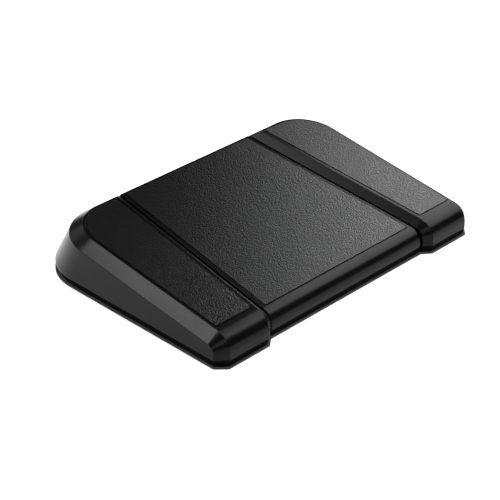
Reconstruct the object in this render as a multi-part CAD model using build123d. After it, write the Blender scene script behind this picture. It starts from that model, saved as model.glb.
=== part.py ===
from build123d import *
import math
import os

# Lengths are millimetres. X runs across the pedals, Y towards the tall rear, Z up.
# The origin is on the floor under the middle of the base.

# Base outline, seen from above
base_width = 244.0
base_depth = 183.0
rear_corner_radius = 40.4
front_corner_cut = 7.0
wing_setback = 5.1

# Base heights and walls
mat_thickness = 1.2
tray_inset = 1.75
floor_thickness = 2.0
riser_height = 2.7
riser_thickness = 1.6
riser_rear_setback = 2.4

# Pedal form
pedal_inset = 0.2
skirt_height = 6.2
side_plane_height = 34.24
middle_plane_height = 30.0
pedal_tilt = math.radians(8.03)
side_pedal_width = 49.3
inner_edge_taper = math.radians(4.26)
pedal_gap = 1.6
side_nose_radius = 12.5
middle_nose_radius = 10.5
outer_bevel_run = 8.0
outer_bevel_drop = 6.7
inner_bevel_run = 5.2
inner_bevel_drop = 4.4
upright_height = 7.2
low_edge_setback = 21.6
low_edge_radius = 32.5
top_edge_setback = 29.2
top_edge_radius = 28.2
middle_top_edge_setback = 24.0
middle_edge_round = 0.5

# Pedal shell
pedal_wall = 2.4
rim_thickness = 1.0
rim_clearance = 0.4
pedal_travel = math.radians(1.3)
rib_depth = 6.0
rib_thickness = 1.6
side_rib_span = 90.0
side_ribs = (-52.0, -18.0, 38.0)
middle_ribs = (-52.0, -18.0, 38.0)
middle_long_rib_spread = 24.0
side_long_rib_spread = 8.0

# Treads
tread_thickness = 1.2
tread_proud = 0.35
tread_groove = 0.5
tread_outer_border = 2.2
tread_inner_border = 3.1
tread_rear_border = 2.4
side_tread_setback = 14.5
middle_tread_setback = 9.4
tread_corner_radius = 1.0

# Hinges
rod_radius = 2.0
rod_fit = 0.05
ear_radius = 4.5
ear_thickness = 3.0
lug_radius = 4.5
lug_thickness = 4.0
hinge_side_gap = 0.4
side_ear_span = 33.0
side_hinge_setback = 25.5
middle_ear_margin = 7.5
rod_overhang = 1.6
clip_thickness = 0.6
clip_radius = 3.6
clip_mouth = 2.4
clip_groove_depth = 0.5
clip_play = 0.05

# Return springs
spring_board_gap = 26.0
spring_radius = 5.3
spring_wire_radius = 0.7
spring_turns = 6
spring_seat_height = 24.0
spring_seat_gap = 0.1
spring_cup_radius = 7.8
spring_cup_bore = 6.5
spring_cup_depth = 2.6
side_spring_spread = 12.0
middle_spring_spread = 38.0

# Full-travel stops
stop_board_gap = 12.0
stop_post_radius = 5.5
stop_post_height = 4.8
bumper_radius = 4.5
bumper_height = 2.5
stop_leg_radius = 4.0
stop_clearance = 0.2
side_stop_spread = 16.0
middle_stop_spread = 50.0

# Latch hooks and the keepers that hold the pedals down at rest
hook_setback = 15.5
hook_width = 8.0
hook_thickness = 2.4
hook_toe = 2.4
hook_toe_height = 2.0
hook_foot_height = 7.0
hook_rest_gap = 0.15
hook_side_gap = 0.5
keeper_bar = 3.0
keeper_post = 2.0
keeper_play = 0.8
side_hook_setback = 41.0
side_hook_spread = 8.0
middle_hook_spread = 30.0

# Circuit board
board_lift = 2.4
board_thickness = 1.6
board_front_setback = 45.5
board_rear_setback = 25.5
board_side_setback = 20.0
tongue_width = 22.0
tongue_gap = 0.3
board_corner_radius = 2.0
board_hole_play = 0.25
board_boss_radius = 3.0
board_screw_side_margin = 24.0
board_screw_spread_near = 16.0
board_screw_margin = 3.6

# Screws
screw_radius = 1.25
screw_fit = 0.05
screw_head_radius = 2.6
screw_head_height = 1.6
screw_length = 4.2
screw_recess_radius = 1.0
screw_recess_depth = 0.8

# Ballast plate
ballast_side_setback = 15.0
ballast_front_setback = 27.5
ballast_spring_gap = 24.0
ballast_corner_radius = 1.0
ballast_thickness = 3.0
ballast_boss_radius = 2.2
ballast_boss_play = 0.15
ballast_screw_margin = 9.0

# Key switches
side_switch_setback = 30.0
switch_setback = 35.5
switch_width = 14.0
switch_height = 11.0
switch_top_cut = 1.0
switch_bore = 8.0
switch_floor = 1.4
switch_lip = 1.2
stem_width = 6.2
stem_shoulder = 7.6
stem_shoulder_height = 3.0
stem_rise = 3.8
stem_mouth_play = 0.2
stem_rest_gap = 0.1
striker_gap = 0.15
striker_radius = 4.0
striker_height = 1.5
striker_boss_radius = 5.0
switch_spring_radius = 2.3
switch_spring_wire_radius = 0.2
switch_spring_turns = 4
switch_spring_gap = 0.05

# USB-C inlet
inlet_width = 8.94
inlet_height = 3.26
inlet_length = 7.3
inlet_wall = 0.3
inlet_corner_radius = 1.2
tongue_plate_width = 6.7
tongue_plate_thickness = 0.7
tongue_plate_length = 4.6
port_width = 19.0
port_back_wall = 2.8
port_height = 10.1
port_recess_depth = 4.6
port_recess_width = 13.8
port_recess_height = 7.0
port_recess_radius = 2.0
port_play = 0.25
port_side_gap = 0.1
notch_side_gap = 0.8
notch_top_gap = 0.5

# Small board parts: chip, crystal, regulator, and the rows of capacitors and resistors
chip_width = 9.0
chip_height = 1.0
chip_x = 34.0
crystal_length = 5.0
crystal_width = 3.2
crystal_height = 1.2
crystal_x = 46.0
regulator_length = 3.0
regulator_width = 1.7
regulator_height = 1.1
regulator_x = 22.0
small_part_margin = 9.0
chip_cap_length = 1.6
chip_cap_width = 0.8
chip_cap_height = 0.8
chip_resistor_height = 0.5
small_row_count = 6
small_row_pitch = 4.0
small_row_x = 24.0
capacitor_row_margin = 4.0
resistor_row_margin = 3.0

# A cut runs past the face that it leaves by this much
overrun = 2.0
touching = 0.01

# Worked out from the sizes above
slope = math.tan(pedal_tilt)
taper = math.tan(inner_edge_taper)
half_width = base_width / 2
half_depth = base_depth / 2
pedal_side = half_width - pedal_inset
pedal_front = pedal_inset - half_depth
pedal_rear = half_depth - pedal_inset
middle_front = pedal_front + wing_setback
floor_top = mat_thickness + floor_thickness
riser_top = floor_top + riser_height
board_bottom = floor_top + board_lift
board_top = board_bottom + board_thickness
switch_top = board_top + switch_height
stem_top = switch_top + stem_rise
port_top = floor_top + port_height
tray_rear = half_depth - tray_inset - riser_rear_setback
side_hinge_x = half_width - side_hinge_setback
side_switch_x = half_width - side_switch_setback
side_hook_x = half_width - side_hook_setback
switch_y = half_depth - switch_setback
hook_y = half_depth - hook_setback
board_front = half_depth - board_front_setback
board_rear = half_depth - board_rear_setback
board_reach = half_width - board_side_setback
ballast_reach = half_width - ballast_side_setback
ballast_front = ballast_front_setback - half_depth
spring_y = board_front - spring_board_gap
stop_y = board_front - stop_board_gap
ballast_rear = spring_y - ballast_spring_gap
board_screw_spread_wide = board_reach - board_screw_side_margin
small_part_y = board_front + small_part_margin
capacitor_row_y = board_rear - capacitor_row_margin
resistor_row_y = board_front + resistor_row_margin
inlet_mouth = tray_rear - port_recess_depth
port_front = inlet_mouth - port_back_wall
inlet_middle = board_top + inlet_height / 2
above_all = side_plane_height + half_depth * slope + overrun


def inner_wall_x(y, inset=0):
    """X of the right pedal's inner wall, drawn in by an inset."""
    start = half_width - side_pedal_width - inner_bevel_run
    return start + inset / math.cos(inner_edge_taper) - y * taper


def middle_wall_x(y, inset=0):
    """X of the middle pedal's right wall, drawn in by an inset."""
    return inner_wall_x(y) - (pedal_gap + inset) / math.cos(inner_edge_taper)


def nose_centre(front, plane_height, radius):
    """Y and Z of the rounded front edge's axis, which is also the hinge."""
    y = front + radius
    z = plane_height + y * slope - radius / math.cos(pedal_tilt)
    return y, z


side_hinge_y, side_hinge_z = nose_centre(pedal_front, side_plane_height, side_nose_radius)
middle_hinge_y, middle_hinge_z = nose_centre(middle_front, middle_plane_height, middle_nose_radius)
middle_ear_span = 2 * (middle_wall_x(middle_hinge_y) - middle_ear_margin)


def drop_at(y, hinge_y):
    """How far a point of a pedal sinks at full travel."""
    return (y - hinge_y) * math.sin(pedal_travel)


def save(node, *solids):
    """Writes one sub-part, as one solid or as a group of separate solids."""
    shape = solids[0] if len(solids) == 1 else Compound(children=list(solids))
    export_step(shape, f"parts/{node}.step")


def rod_along_x(x_low, x_high, y, z, radius):
    """A round bar along X."""
    middle = ((x_low + x_high) / 2, y, z)
    return Pos(*middle) * Rot(0, 90, 0) * Cylinder(radius, x_high - x_low)


def block(x_span, y_span, z_span):
    """A box from its low and high values along each axis."""
    lows = (x_span[0], y_span[0], z_span[0])
    sizes = [high - low for low, high in (x_span, y_span, z_span)]
    return Pos(*lows) * Box(*sizes, align=(Align.MIN, Align.MIN, Align.MIN))


def standing(x, y, z_low, z_high, radius):
    """An upright round post."""
    return Pos(x, y, z_low) * Cylinder(radius, z_high - z_low, align=(Align.CENTER, Align.CENTER, Align.MIN))


def flipped(shape):
    """The left-hand copy of a right-hand piece."""
    return mirror(shape, about=Plane.YZ)


# Base outline

def wing_x(y):
    """X of the angled end of a front wing, parallel to the pedal's inner bevel."""
    near = (inner_wall_x(pedal_front) + inner_bevel_run, pedal_front)
    far_y = pedal_front + inner_bevel_drop * math.cos(inner_edge_taper)
    far = (inner_wall_x(far_y), far_y)
    dx, dy = near[0] - far[0], near[1] - far[1]
    length = math.hypot(dx, dy)
    x = far[0] + pedal_inset * dy / length
    start = far[1] - pedal_inset * dx / length
    return x + (y - start) * dx / dy


def base_face():
    """The base seen from above, with its two wings and round rear corners."""
    back = half_depth - rear_corner_radius
    turn = half_width - rear_corner_radius
    right = [
        (wing_x(wing_setback - half_depth), wing_setback - half_depth),
        (wing_x(-half_depth), -half_depth),
        (half_width - front_corner_cut, -half_depth),
        (half_width, front_corner_cut - half_depth),
        (half_width, back),
    ]
    left = [(-x, y) for x, y in reversed(right)]
    front = Polyline(*left, *right)
    right_corner = RadiusArc((half_width, back), (turn, half_depth), -rear_corner_radius)
    rear = Line((turn, half_depth), (-turn, half_depth))
    left_corner = RadiusArc((-turn, half_depth), (-half_width, back), -rear_corner_radius)
    return make_face([front, right_corner, rear, left_corner])


outline = base_face()


def tray_prism(inset, z_low, z_high):
    """The tray's outline, drawn in by an inset, as a block between two heights."""
    face = offset(outline, amount=-inset, kind=Kind.INTERSECTION)
    prism = Pos(0, 0, z_low) * extrude(face, amount=z_high - z_low)
    return prism & Pos(0, -riser_rear_setback, 0) * prism


# Pedal forms

def tilted_plane(height):
    """A plane parallel to the treads, through a height at the middle of the base."""
    normal = (0, -math.sin(pedal_tilt), math.cos(pedal_tilt))
    return Plane(origin=(0, 0, height), x_dir=(1, 0, 0), z_dir=normal)


def wall_plane(x, side=1):
    """The upright plane of a tapered wall, through an X at the middle of the depth."""
    normal = (side * math.cos(inner_edge_taper), math.sin(inner_edge_taper), 0)
    return Plane(origin=(side * x, 0, 0), z_dir=normal)


def bevel_share(run, drop, inset):
    """What is left of a bevel's run and drop on a form drawn in by an inset."""
    return 1 + inset * (math.hypot(1 / run, 1 / drop) - 1 / run - 1 / drop)


def nose_edges(front, plane_height, radius, y_end, z_low):
    """Front, rounded nose and top of a pedal's side view, and the top's rear end."""
    y, z = nose_centre(front, plane_height, radius)
    half_turn = (math.pi + math.pi / 2 + pedal_tilt) / 2
    middle = (0, y + radius * math.cos(half_turn), z + radius * math.sin(half_turn))
    top_start = (0, y - radius * math.sin(pedal_tilt), z + radius * math.cos(pedal_tilt))
    top_end = (0, y_end, plane_height + y_end * slope)
    upright = Line((0, front, z_low), (0, front, z))
    nose = ThreePointArc((0, front, z), middle, top_start)
    return [upright, nose, Line(top_start, top_end)], top_end


def nose_chain(face, front, plane_height, radius):
    """The edges of a wall face that run up the front, round the nose and along the top."""
    y, z = nose_centre(front, plane_height, radius)
    chain = []
    for edge in face.edges():
        point = edge.center(CenterOf.MASS) if edge.geom_type == GeomType.LINE else edge @ 0.5
        on_front = abs(point.Y - front) < touching
        on_top = abs(point.Z - plane_height - point.Y * slope) < touching
        on_nose = abs(math.hypot(point.Y - y, point.Z - z) - radius) < touching
        if on_front or on_top or on_nose:
            chain.append(edge)
    return chain


def corner_wire(side, rear, radius, height):
    """Half of a pedal's outline behind the middle, at a height that depends on Y."""
    def at(x, y):
        return Vector(x, y, height(y))
    start = at(side, rear - radius)
    end = at(side - radius, rear)
    corner = Bezier(start, at(side, rear), end, weights=[1, math.sqrt(1 / 2), 1])
    lines = [Line(at(0, 0), at(side, 0)), Line(at(side, 0), start), corner]
    lines += [Line(end, at(0, rear)), Line(at(0, rear), at(0, 0))]
    return Wire(lines)


def side_form(inset, z_low):
    """The right pedal's form from a low height up, drawn in by an inset on every face."""
    front = pedal_front + inset
    side = pedal_side - inset
    rear = pedal_rear - inset
    radius = side_nose_radius - inset
    plane_height = side_plane_height - inset / math.cos(pedal_tilt)
    share = bevel_share(outer_bevel_run, outer_bevel_drop, inset)
    run = outer_bevel_run * share
    drop = outer_bevel_drop * share

    edges, top_end = nose_edges(front, plane_height, radius, 0, z_low)
    edges.append(Line(top_end, (0, 0, z_low)))
    edges.append(Line((0, 0, z_low), (0, front, z_low)))
    nose = extrude(make_face(edges), amount=side, dir=(1, 0, 0))
    wall = nose.faces().sort_by(Axis.X)[-1]
    nose = chamfer(nose_chain(wall, front, plane_height, radius), drop, run, reference=wall)

    lean = math.atan2(low_edge_setback, side_plane_height)
    low_rear = rear - low_edge_setback - inset * (1 / math.cos(lean) - 1)
    top_rear = rear - top_edge_setback
    low_drop = drop / math.cos(pedal_tilt)
    foot = corner_wire(side, rear, rear_corner_radius - inset, lambda y: z_low)
    bend = corner_wire(side, rear, rear_corner_radius - inset, lambda y: upright_height)
    low = corner_wire(side, low_rear, low_edge_radius - inset, lambda y: plane_height + y * slope - low_drop)
    top = corner_wire(side - run, top_rear, top_edge_radius - inset, lambda y: plane_height + y * slope)
    form = nose
    for lower, upper in ((foot, bend), (bend, low), (low, top)):
        form += Solid.make_loft([lower, upper], ruled=True)

    form = split(form, bisect_by=wall_plane(inner_wall_x(0, inset)), keep=Keep.TOP)
    share = bevel_share(inner_bevel_run, inner_bevel_drop, inset)
    wall = form.faces().sort_by(Axis((0, 0, 0), wall_plane(half_width).z_dir))[0]
    chain = nose_chain(wall, front, plane_height, radius)
    return chamfer(chain, inner_bevel_drop * share, inner_bevel_run * share, reference=wall)


def middle_form(inset, z_low):
    """The middle pedal's form from a low height up, drawn in by an inset on every face."""
    front = middle_front + inset
    rear = pedal_rear - inset
    radius = middle_nose_radius - inset
    plane_height = middle_plane_height - inset / math.cos(pedal_tilt)
    lean = math.atan2(low_edge_setback, side_plane_height)
    top_rear = pedal_rear - middle_top_edge_setback - inset / math.cos(lean)
    edges, top_end = nose_edges(front, plane_height, radius, top_rear, z_low)
    edges.append(Polyline(top_end, (0, rear, upright_height), (0, rear, z_low), (0, front, z_low)))
    form = extrude(make_face(edges), amount=half_width, dir=(1, 0, 0), both=True)
    for side in (1, -1):
        form = split(form, bisect_by=wall_plane(middle_wall_x(0, inset), side), keep=Keep.BOTTOM)
    return form


def under_roof(shape, height):
    """The part of a shape that a pedal must leave free to pass a height at full travel."""
    normal = (0, -math.sin(pedal_travel), math.cos(pedal_travel))
    roof = Plane(origin=(0, side_hinge_y, height + rim_clearance), x_dir=(1, 0, 0), z_dir=normal)
    return split(shape, bisect_by=roof, keep=Keep.BOTTOM)


def travel_room(form, x_span, front):
    """The room in a skirt for the tray's riser, and under the inner walls for the board."""
    across = block(x_span, (front + rim_thickness, tray_rear + rim_clearance), (0, above_all))
    return under_roof(form, riser_top) + under_roof(across, board_top)


# Treads

def side_tread_corners(grow):
    """Corners of the right tread in plan, grown by a groove's width."""
    front = pedal_front + side_tread_setback - grow
    rear = pedal_rear - top_edge_setback - tread_rear_border + grow
    outer = pedal_side - outer_bevel_run - tread_outer_border + grow
    border = inner_bevel_run + tread_inner_border - grow
    return [
        (inner_wall_x(front) + border, front),
        (outer, front),
        (outer, rear),
        (inner_wall_x(rear) + border, rear),
    ]


def middle_tread_corners(grow):
    """Corners of the middle tread in plan, grown by a groove's width."""
    front = middle_front + middle_tread_setback - grow
    rear = pedal_rear - middle_top_edge_setback - tread_rear_border + grow
    border = tread_inner_border - grow
    right = [(middle_wall_x(front) - border, front), (middle_wall_x(rear) - border, rear)]
    return [(-right[0][0], front), right[0], right[1], (-right[1][0], rear)]


def tread_block(corners, plane_height, round_radius, low, high):
    """A slab parallel to the top of a pedal, between two distances from that top."""
    points = [(x, y / math.cos(pedal_tilt)) for x, y in corners]
    face = make_face(Polyline(*points, close=True))
    by_place = face.vertices().sort_by(lambda v: v.X + v.Y)
    face = fillet(by_place[:-1], tread_corner_radius)
    far = face.vertices().sort_by(lambda v: v.X + v.Y)[-1]
    face = fillet(far, round_radius)
    return tilted_plane(plane_height) * Pos(0, 0, low) * extrude(face, amount=high - low)


def tread_pair(corners, plane_height, round_radius):
    """A tread and the pocket that it lies in."""
    floor = tread_proud - tread_thickness
    pad = tread_block(corners(0), plane_height, round_radius, floor, tread_proud)
    pocket = tread_block(corners(tread_groove), plane_height, round_radius + tread_groove, floor, overrun)
    return pad, pocket


# Features inside a pedal

def spring_seat(x):
    """A boss under the pedal's top that carries the upper end of a return spring."""
    boss = standing(x, spring_y, spring_seat_height - spring_cup_depth, above_all, spring_cup_radius)
    return boss - standing(x, spring_y, 0, spring_seat_height, spring_cup_bore)


def stop_leg(x, hinge_y):
    """A leg that comes down on a bumper at full travel."""
    foot = floor_top + stop_post_height + bumper_height + stop_clearance + drop_at(stop_y, hinge_y)
    return standing(x, stop_y, foot, above_all, stop_leg_radius)


def hook_leg(x):
    """A latch leg whose toe lies under its keeper at rest."""
    width = (x - hook_width / 2, x + hook_width / 2)
    leg = block(width, (hook_y - hook_thickness, hook_y), (hook_foot_height, above_all))
    toe = (hook_foot_height, hook_foot_height + hook_toe_height)
    return leg + block(width, (hook_y - overrun, hook_y + hook_toe), toe)


def striker_boss(x):
    """The post that carries the rubber striker above a switch."""
    return standing(x, switch_y, stem_top + striker_gap + striker_height, above_all, striker_boss_radius)


def hinge_lug(x_low, y, z):
    """A plate from the shell down round the hinge rod."""
    web = block((x_low, x_low + lug_thickness), (y - lug_radius, y + lug_radius), (z, above_all))
    return web + rod_along_x(x_low, x_low + lug_thickness, y, z, lug_radius)


def rib_across(y, plane_height):
    """A rib under the pedal's top, from side to side."""
    spot = Pos(0, y / math.cos(pedal_tilt), -pedal_wall - rib_depth)
    bar = Box(base_width, rib_thickness, rib_depth + overrun, align=(Align.CENTER, Align.CENTER, Align.MIN))
    return tilted_plane(plane_height) * spot * bar


def rib_along(x, plane_height):
    """A rib under the pedal's top, from front to rear."""
    spot = Pos(x, 0, -pedal_wall - rib_depth)
    bar = Box(rib_thickness, side_rib_span, rib_depth + overrun, align=(Align.CENTER, Align.CENTER, Align.MIN))
    return tilted_plane(plane_height) * spot * bar


def gathered(shapes):
    """Several solids joined into one."""
    joined = shapes[0]
    for shape in shapes[1:]:
        joined += shape
    return joined


def lug_places(ear_span, hinge_x):
    """Low X of each of a pedal's two hinge lugs, just inside the tray's ears."""
    reach = ear_span / 2 - ear_thickness / 2 - hinge_side_gap
    return hinge_x - reach, hinge_x + reach - lug_thickness


side_spots = [side_switch_x + side * side_spring_spread for side in (-1, 1)]
middle_spots = [side * middle_spring_spread for side in (-1, 1)]
side_stops = [side_switch_x + side * side_stop_spread for side in (-1, 1)]
middle_stops = [side * middle_stop_spread for side in (-1, 1)]
side_hooks = [side_hook_x + side * side_hook_spread for side in (-1, 1)]
middle_hooks = [side * middle_hook_spread for side in (-1, 1)]


def side_cap(pocket):
    """The right pedal's moulded cap, with everything under its top."""
    cavity = side_form(pedal_wall, 0)
    inner_span = (inner_wall_x(pedal_rear) - overrun, side_hinge_x)
    room = travel_room(side_form(rim_thickness, 0), inner_span, pedal_front + inner_bevel_drop)
    shell = side_form(0, skirt_height) - cavity - room
    lugs = lug_places(side_ear_span, side_hinge_x)
    inside = [hinge_lug(x, side_hinge_y, side_hinge_z) for x in lugs]
    inside += [spring_seat(x) for x in side_spots]
    inside += [stop_leg(x, side_hinge_y) for x in side_stops]
    inside += [hook_leg(x) for x in side_hooks]
    inside += [rib_across(y, side_plane_height) for y in side_ribs]
    inside += [rib_along(side_hinge_x + s * side_long_rib_spread, side_plane_height) for s in (-1, 1)]
    inside.append(striker_boss(side_switch_x))
    cap = shell + (gathered(inside) & cavity)
    bore_end = pedal_side - pedal_wall
    bore = rod_along_x(inner_wall_x(pedal_front), bore_end, side_hinge_y, side_hinge_z, rod_radius + rod_fit)
    seats = [standing(x, spring_y, 0, spring_seat_height, spring_cup_bore) for x in side_spots]
    return cap - pocket - bore - gathered(seats)


def port_notch():
    """The cut in the middle pedal's rear wall, which clears the port over the travel."""
    reach = port_width / 2 + notch_side_gap
    top = port_top + drop_at(pedal_rear, middle_hinge_y) + notch_top_gap
    return block((-reach, reach), (board_rear, pedal_rear + overrun), (0, top))


def middle_cap(pocket):
    """The middle pedal's moulded cap, with everything under its top."""
    cavity = middle_form(pedal_wall, 0)
    outside = middle_form(0, skirt_height)
    top = outside.faces().sort_by(Axis((0, 0, 0), tilted_plane(0).z_dir))[-1]
    edges = [edge for edge in top.edges() if (edge @ (1 / 2)).Y > middle_hinge_y + touching]
    outside = fillet(edges, middle_edge_round)
    reach = inner_wall_x(pedal_front)
    room = travel_room(middle_form(rim_thickness, 0), (-reach, reach), middle_front)
    shell = outside - cavity - room
    lugs = lug_places(middle_ear_span, 0)
    inside = [hinge_lug(x, middle_hinge_y, middle_hinge_z) for x in lugs]
    inside += [spring_seat(x) for x in middle_spots]
    inside += [stop_leg(x, middle_hinge_y) for x in middle_stops]
    inside += [hook_leg(x) for x in middle_hooks]
    inside += [rib_across(y, middle_plane_height) for y in middle_ribs]
    inside += [rib_along(s * middle_long_rib_spread, middle_plane_height) for s in (-1, 1)]
    inside.append(striker_boss(0))
    cap = shell + (gathered(inside) & cavity)
    bore = rod_along_x(-reach, reach, middle_hinge_y, middle_hinge_z, rod_radius + rod_fit)
    seats = [standing(x, spring_y, 0, spring_seat_height, spring_cup_bore) for x in middle_spots]
    return cap - pocket - bore - gathered(seats) - port_notch()


# Base tray

def hinge_ear(x, y, z):
    """An upright plate of the tray that holds a hinge rod."""
    low = x - ear_thickness / 2
    web = block((low, low + ear_thickness), (y - ear_radius, y + ear_radius), (mat_thickness, z))
    return web + rod_along_x(low, low + ear_thickness, y, z, ear_radius)


def keeper(x):
    """A small gate on the tray's floor that a latch toe lies under."""
    reach = hook_width / 2 + keeper_play
    low = hook_foot_height + hook_toe_height + hook_rest_gap
    depth = (hook_y + hook_side_gap, hook_y + hook_side_gap + keeper_bar)
    bar = block((x - reach - keeper_post, x + reach + keeper_post), depth, (low, low + keeper_bar))
    for side in (-1, 1):
        near = x + side * (reach + keeper_post / 2)
        bar += block((near - keeper_post / 2, near + keeper_post / 2), depth, (mat_thickness, low + keeper_bar))
    return bar


def tray_cup(x):
    """A raised ring on the floor round the lower end of a return spring."""
    ring = standing(x, spring_y, mat_thickness, floor_top + spring_cup_depth, spring_cup_radius)
    return ring - standing(x, spring_y, floor_top, above_all, spring_cup_bore)


side_ears = [side_hinge_x + side * side_ear_span / 2 for side in (-1, 1)]
middle_ears = [-middle_ear_span / 2, 0, middle_ear_span / 2]
rear_screws = [side * board_screw_spread_wide for side in (-1, 1)]
near_screws = [side * board_screw_spread_near for side in (-1, 1)]
board_holes = [(x, board_front + board_screw_margin) for x in rear_screws + near_screws]
ballast_xs = [side * (ballast_reach - ballast_screw_margin) for side in (-1, 1)] + [0]
ballast_holes = []
for hole_y in (ballast_front + ballast_screw_margin, ballast_rear - ballast_screw_margin):
    ballast_holes += [(x, hole_y) for x in ballast_xs]


def base_tray():
    """The moulded tray: floor, riser and everything that stands on the floor."""
    tray = tray_prism(tray_inset, mat_thickness, riser_top)
    tray -= tray_prism(tray_inset + riser_thickness, floor_top, above_all)
    gate = port_width / 2 + port_side_gap
    tray -= block((-gate, gate), (port_front, half_depth), (floor_top, above_all))
    right = [hinge_ear(x, side_hinge_y, side_hinge_z) for x in side_ears]
    right += [tray_cup(x) for x in side_spots]
    post_top = floor_top + stop_post_height
    right += [standing(x, stop_y, mat_thickness, post_top, stop_post_radius) for x in side_stops]
    right += [keeper(x) for x in side_hooks]
    for shape in right:
        tray += shape
        tray += flipped(shape)
    middle = [hinge_ear(x, middle_hinge_y, middle_hinge_z) for x in middle_ears]
    middle += [tray_cup(x) for x in middle_spots]
    middle += [standing(x, stop_y, mat_thickness, post_top, stop_post_radius) for x in middle_stops]
    middle += [keeper(x) for x in middle_hooks]
    middle += [standing(x, y, mat_thickness, board_bottom, board_boss_radius) for x, y in board_holes]
    ballast_top = floor_top + ballast_thickness
    middle += [standing(x, y, mat_thickness, ballast_top, ballast_boss_radius) for x, y in ballast_holes]
    for shape in middle:
        tray += shape
    bores = [rod_along_x(-half_width, half_width, side_hinge_y, side_hinge_z, rod_radius + rod_fit)]
    bores.append(rod_along_x(-half_width, half_width, middle_hinge_y, middle_hinge_z, rod_radius + rod_fit))
    limit = side_hinge_x - side_ear_span
    outer_bore = bores[0] - block((-limit, limit), (pedal_front, 0), (0, above_all))
    inner_bore = bores[1] & block((-middle_ear_span, middle_ear_span), (pedal_front, 0), (0, above_all))
    for x, y in board_holes:
        tray -= standing(x, y, board_top - screw_length - screw_fit, above_all, screw_radius + screw_fit)
    for x, y in ballast_holes:
        tray -= standing(x, y, ballast_top - screw_length - screw_fit, above_all, screw_radius + screw_fit)
    return tray - outer_bore - inner_bore


def ballast_plate():
    """The steel plate that keeps the pedal on the floor."""
    thickness = (floor_top, floor_top + ballast_thickness)
    plate = block((-ballast_reach, ballast_reach), (ballast_front, ballast_rear), thickness)
    plate = fillet(plate.edges().filter_by(Axis.Z), ballast_corner_radius)
    for x, y in ballast_holes:
        plate -= standing(x, y, 0, above_all, ballast_boss_radius + ballast_boss_play)
    return plate


def screw(x, y, seat):
    """A pan-head screw whose head sits at a height."""
    body = standing(x, y, seat - screw_length, seat, screw_radius)
    head = standing(x, y, seat, seat + screw_head_height, screw_head_radius)
    rim = head.edges().filter_by(GeomType.CIRCLE).sort_by(Axis.Z)[-1]
    head = fillet(rim, screw_head_height / 2)
    recess_floor = seat + screw_head_height - screw_recess_depth
    recess = Pos(x, y, recess_floor) * extrude(RegularPolygon(screw_recess_radius, 6), amount=screw_head_height)
    return body + head - recess


# Hinge rods and their clips

def hinge_rod(x_low, x_high, y, z):
    """A steel rod with a clip groove near each end."""
    rod = rod_along_x(x_low, x_high, y, z, rod_radius)
    for low in (clip_low(x_low), clip_high(x_high)):
        sleeve = rod_along_x(low - clip_play, low + clip_thickness + clip_play, y, z, rod_radius + overrun)
        core = rod_along_x(low - overrun, low + overrun, y, z, rod_radius - clip_groove_depth)
        rod -= sleeve - core
    return rod


def clip_low(x_low):
    """Low X of the clip near a rod's low end."""
    return x_low + (rod_overhang - clip_thickness) / 2


def clip_high(x_high):
    """Low X of the clip near a rod's high end."""
    return x_high - (rod_overhang - clip_thickness) / 2 - clip_thickness


def rod_clip(x_low, y, z):
    """An open spring clip that sits in a rod's groove."""
    disc = rod_along_x(x_low, x_low + clip_thickness, y, z, clip_radius)
    disc -= rod_along_x(x_low - overrun, x_low + overrun, y, z, rod_radius - clip_groove_depth + clip_play)
    mouth = (y - clip_mouth / 2, y + clip_mouth / 2)
    return disc - block((x_low - overrun, x_low + overrun), mouth, (z - clip_radius - overrun, z))


def rod_ends(ear_span, hinge_x):
    """Low and high X of a hinge rod."""
    reach = ear_span / 2 + ear_thickness / 2 + rod_overhang
    return hinge_x - reach, hinge_x + reach


# Springs

def bent_pair(start, start_way, end, end_way):
    """Two arcs that join two points of a coil and keep its direction at both."""
    across = end - start
    both = start_way + end_way
    turn = 2 * (1 - start_way.dot(end_way))
    reach = (math.sqrt(across.dot(both) ** 2 + turn * across.dot(across)) - across.dot(both)) / turn
    low = start + start_way * reach
    high = end - end_way * reach
    middle = (low + high) / 2
    first = TangentArc(start, middle, tangent=start_way)
    return [first, TangentArc(middle, end, tangent=(high - low).normalized())]


def coil(radius, wire_radius, turns, z_low, z_high):
    """A compression spring standing on Z, as one unbroken wire."""
    first = z_low + wire_radius
    pitch = (z_high - z_low - 2 * wire_radius) / turns
    stretch = math.hypot(2 * math.pi * radius, pitch)

    def point(step):
        angle = step * math.pi / 2
        return Vector(radius * math.cos(angle), radius * math.sin(angle), first + pitch * step / 4)

    def way(step):
        angle = step * math.pi / 2
        flat = 2 * math.pi * radius / stretch
        return Vector(-math.sin(angle) * flat, math.cos(angle) * flat, pitch / stretch)

    arcs = []
    for step in range(4 * turns):
        arcs += bent_pair(point(step), way(step), point(step + 1), way(step + 1))
    path = Wire(arcs)
    section = Plane(origin=point(0), z_dir=way(0)) * Circle(wire_radius)
    print(f"coil of {turns} turns: gap between turns {pitch - 2 * wire_radius:.2f} mm")
    return sweep(section, path=path)


# Switches

def switch_housing(x):
    """A key switch's housing, with the bore that its stem slides in."""
    reach = switch_width / 2
    body = block((x - reach, x + reach), (switch_y - reach, switch_y + reach), (board_top, switch_top))
    body = chamfer(body.faces().sort_by(Axis.Z)[-1].edges(), switch_top_cut)
    hollow = switch_bore / 2
    floor = board_top + switch_floor
    hollow_z = (floor, switch_top - switch_lip)
    body -= block((x - hollow, x + hollow), (switch_y - hollow, switch_y + hollow), hollow_z)
    mouth = stem_width / 2 + stem_mouth_play
    return body - block((x - mouth, x + mouth), (switch_y - mouth, switch_y + mouth), (floor, above_all))


stem_shoulder_top = switch_top - switch_lip - stem_rest_gap


def switch_stem(x):
    """The sliding stem, held in by its shoulder."""
    reach = stem_shoulder / 2
    low = stem_shoulder_top - stem_shoulder_height
    shoulder = block((x - reach, x + reach), (switch_y - reach, switch_y + reach), (low, stem_shoulder_top))
    reach = stem_width / 2
    return shoulder + block((x - reach, x + reach), (switch_y - reach, switch_y + reach), (low, stem_top))


# Board and inlet

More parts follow.
